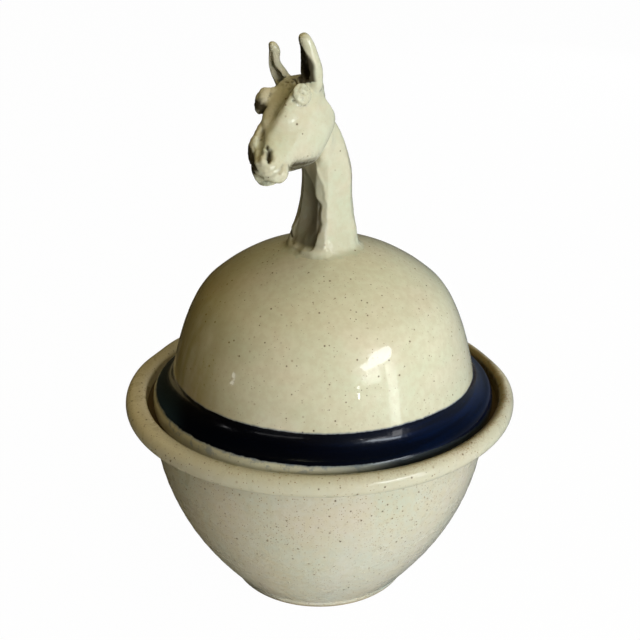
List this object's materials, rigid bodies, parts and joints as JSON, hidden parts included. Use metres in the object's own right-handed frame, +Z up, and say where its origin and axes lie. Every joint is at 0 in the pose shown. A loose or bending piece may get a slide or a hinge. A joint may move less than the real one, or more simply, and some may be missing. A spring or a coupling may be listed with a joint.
{
  "type": "covered serving dish",
  "caption": "Stoneware bowl with a rolled, galleried rim and a domed lid that lifts off by a hand-modelled horse's head.",
  "frame": {"origin": "on the table, under the middle of the bowl's foot ring", "axes": "+Z up along the bowl's axis, -Y towards the front of the dish, +X to the right seen from the front"},
  "size_m": [0.2296, 0.2296, 0.335],
  "materials": {
    "bowl_glaze": "glossy oatmeal glaze with iron specks",
    "lid_glaze": "glossy oatmeal glaze with iron specks and a brushed cobalt band",
    "horse_glaze": "glossy oatmeal glaze with iron specks",
    "eye_glaze": "glossy, a little toasted"
  },
  "bodies": {
    "bowl": {"bowl": "bowl_glaze"},
    "lid": {"lid": "lid_glaze", "horse_head_and_neck": "horse_glaze", "ear_left": "horse_glaze", "ear_right": "horse_glaze", "eye_left": "eye_glaze", "eye_right": "eye_glaze"}
  },
  "joints": [
    {"name": "lid_lift", "type": "slide", "parent": "bowl", "child": "lid", "axis": [0, 0, 1], "range_m": [0, 0.15]}
  ]
}
